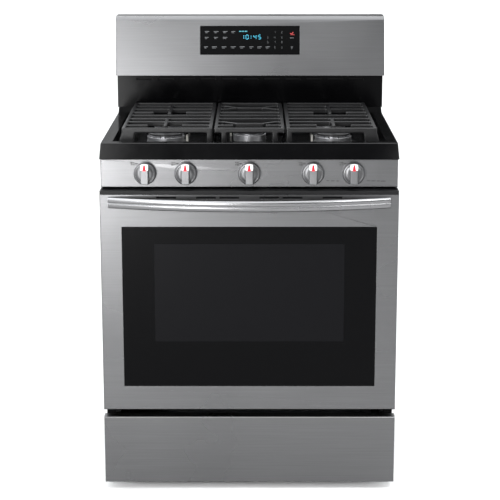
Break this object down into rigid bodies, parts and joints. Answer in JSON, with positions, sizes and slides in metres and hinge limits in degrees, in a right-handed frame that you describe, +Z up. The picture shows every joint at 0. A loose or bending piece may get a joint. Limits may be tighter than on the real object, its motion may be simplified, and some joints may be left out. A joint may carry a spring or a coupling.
{
  "type": "freestanding gas range",
  "caption": "Freestanding gas range: sealed burners under cast grates, knob panel, glazed oven door with a bowed bar handle, storage drawer and backguard with touch controls.",
  "frame": {"origin": "on the floor under the middle of the overall box", "axes": "+X to the right seen from the front, the front faces -Y, +Z up"},
  "size_m": [0.757, 0.7277, 1.189],
  "materials": {
    "stainless": "horizontally brushed stainless steel, satin",
    "handle_metal": "fine brushed stainless bar",
    "knob_metal": "brushed silver knob",
    "bezel_dark": "satin dark grey ring",
    "black_enamel": "glossy black porcelain enamel",
    "speckled_enamel": "dark blue-grey speckled porcelain enamel",
    "cast_iron": "matte black enamelled cast iron",
    "burner_cap": "satin dark grey porcelain cap",
    "burner_alloy": "cast aluminium burner head",
    "black_glass": "black printed tempered glass",
    "clear_glass": "clear tempered glass",
    "lens_glass": "frosted lamp lens",
    "panel_glass": "black touch panel glass",
    "side_paint": "dark grey baked enamel",
    "galvanised": "galvanised sheet",
    "chassis_paint": "black painted steel",
    "chrome_wire": "bright chromed wire",
    "zinc_steel": "zinc plated steel",
    "aluminised": "aluminised steel",
    "brass": "machined brass",
    "wool": "glass wool blanket",
    "seal": "woven glass rope seal",
    "black_plastic": "black moulded plastic",
    "white_ceramic": "white ceramic",
    "foot_rubber": "black rubber foot",
    "board_green": "printed circuit board",
    "motor_steel": "laminated motor steel",
    "drawer_metal": "galvanised drawer box"
  },
  "bodies": {
    "range_body": {"base_frame": "chassis_paint", "levelling_feet": "foot_rubber", "left_side_panel": "side_paint", "right_side_panel": "side_paint", "rear_panel": "galvanised", "front_frame": "black_enamel", "oven_liner": "speckled_enamel", "insulation": "wool", "oven_floor": "speckled_enamel", "bake_burner": "aluminised", "broil_burner": "aluminised", "rack_guides": "chrome_wire", "lamp_lens": "lens_glass", "oven_lamp": "white_ceramic", "fan_cover": "speckled_enamel", "fan_motor": "motor_steel", "door_gasket": "seal", "control_panel": "stainless", "gas_manifold": "zinc_steel", "gas_valves": "brass", "knob_bezels": "bezel_dark", "cooktop": "black_enamel", "burner_heads": "burner_alloy", "burner_caps": "burner_cap", "igniters": "white_ceramic", "burner_tubes": "aluminised", "backguard_panel": "stainless", "backguard_riser": "black_enamel", "backguard_rear_cover": "galvanised", "touch_glass": "panel_glass", "control_board": "board_green", "gas_regulator": "aluminised", "drawer_rails": "zinc_steel", "hinge_arms": "zinc_steel", "screws": "zinc_steel"},
    "oven_door": {"door_skin": "stainless", "door_glass_outer": "black_glass", "door_glass_inner": "clear_glass", "door_liner": "speckled_enamel", "door_top_cap": "black_plastic", "door_handle": "handle_metal", "door_hinges": "zinc_steel"},
    "storage_drawer": {"drawer_front": "stainless", "drawer_box": "drawer_metal"},
    "grate_left_body": {"grate_left": "cast_iron"},
    "grate_centre_body": {"grate_centre": "cast_iron"},
    "grate_right_body": {"grate_right": "cast_iron"},
    "rack_upper_body": {"oven_rack_upper": "chrome_wire"},
    "rack_lower_body": {"oven_rack_lower": "chrome_wire"},
    "fan": {"fan_blade": "aluminised"},
    "stem_1": {"valve_stem_1": "zinc_steel"},
    "knob_1_body": {"knob_1": "knob_metal"},
    "stem_2": {"valve_stem_2": "zinc_steel"},
    "knob_2_body": {"knob_2": "knob_metal"},
    "stem_3": {"valve_stem_3": "zinc_steel"},
    "knob_3_body": {"knob_3": "knob_metal"},
    "stem_4": {"valve_stem_4": "zinc_steel"},
    "knob_4_body": {"knob_4": "knob_metal"},
    "stem_5": {"valve_stem_5": "zinc_steel"},
    "knob_5_body": {"knob_5": "knob_metal"}
  },
  "joints": [
    {"name": "door_hinge", "type": "hinge", "parent": "range_body", "child": "oven_door", "pos_m": [0, -0.29, 0.235], "axis": [1, 0, 0], "range_deg": [0, 90]},
    {"name": "drawer_slide", "type": "slide", "parent": "range_body", "child": "storage_drawer", "axis": [0, -1, 0], "range_m": [0, 0.42]},
    {"name": "knob_1_push", "type": "slide", "parent": "range_body", "child": "stem_1", "axis": [0, 1, 0], "range_m": [0, 0.0022], "stiffness_N_per_m": 1500, "springref_m": -0.002},
    {"name": "knob_1_turn", "type": "hinge", "parent": "stem_1", "child": "knob_1_body", "pos_m": [-0.264, -0.29, 0.84], "axis": [0, -1, 0], "range_deg": [0, 270]},
    {"name": "knob_2_push", "type": "slide", "parent": "range_body", "child": "stem_2", "axis": [0, 1, 0], "range_m": [0, 0.0022], "stiffness_N_per_m": 1500, "springref_m": -0.002},
    {"name": "knob_2_turn", "type": "hinge", "parent": "stem_2", "child": "knob_2_body", "pos_m": [-0.161, -0.29, 0.84], "axis": [0, -1, 0], "range_deg": [0, 270]},
    {"name": "knob_3_push", "type": "slide", "parent": "range_body", "child": "stem_3", "axis": [0, 1, 0], "range_m": [0, 0.0022], "stiffness_N_per_m": 1500, "springref_m": -0.002},
    {"name": "knob_3_turn", "type": "hinge", "parent": "stem_3", "child": "knob_3_body", "pos_m": [0, -0.29, 0.84], "axis": [0, -1, 0], "range_deg": [0, 270]},
    {"name": "knob_4_push", "type": "slide", "parent": "range_body", "child": "stem_4", "axis": [0, 1, 0], "range_m": [0, 0.0022], "stiffness_N_per_m": 1500, "springref_m": -0.002},
    {"name": "knob_4_turn", "type": "hinge", "parent": "stem_4", "child": "knob_4_body", "pos_m": [0.161, -0.29, 0.84], "axis": [0, -1, 0], "range_deg": [0, 270]},
    {"name": "knob_5_push", "type": "slide", "parent": "range_body", "child": "stem_5", "axis": [0, 1, 0], "range_m": [0, 0.0022], "stiffness_N_per_m": 1500, "springref_m": -0.002},
    {"name": "knob_5_turn", "type": "hinge", "parent": "stem_5", "child": "knob_5_body", "pos_m": [0.264, -0.29, 0.84], "axis": [0, -1, 0], "range_deg": [0, 270]},
    {"name": "grate_left_lift", "type": "slide", "parent": "range_body", "child": "grate_left_body", "axis": [0, 0, 1], "range_m": [0, 0.07]},
    {"name": "grate_centre_lift", "type": "slide", "parent": "range_body", "child": "grate_centre_body", "axis": [0, 0, 1], "range_m": [0, 0.07]},
    {"name": "grate_right_lift", "type": "slide", "parent": "range_body", "child": "grate_right_body", "axis": [0, 0, 1], "range_m": [0, 0.07]},
    {"name": "rack_upper_slide", "type": "slide", "parent": "range_body", "child": "rack_upper_body", "axis": [0, -1, 0], "range_m": [0, 0.036]},
    {"name": "rack_lower_slide", "type": "slide", "parent": "range_body", "child": "rack_lower_body", "axis": [0, -1, 0], "range_m": [0, 0.036]},
    {"name": "fan_spin", "type": "hinge", "parent": "range_body", "child": "fan", "pos_m": [0, 0.22, 0.505], "axis": [0, -1, 0], "continuous": true}
  ]
}
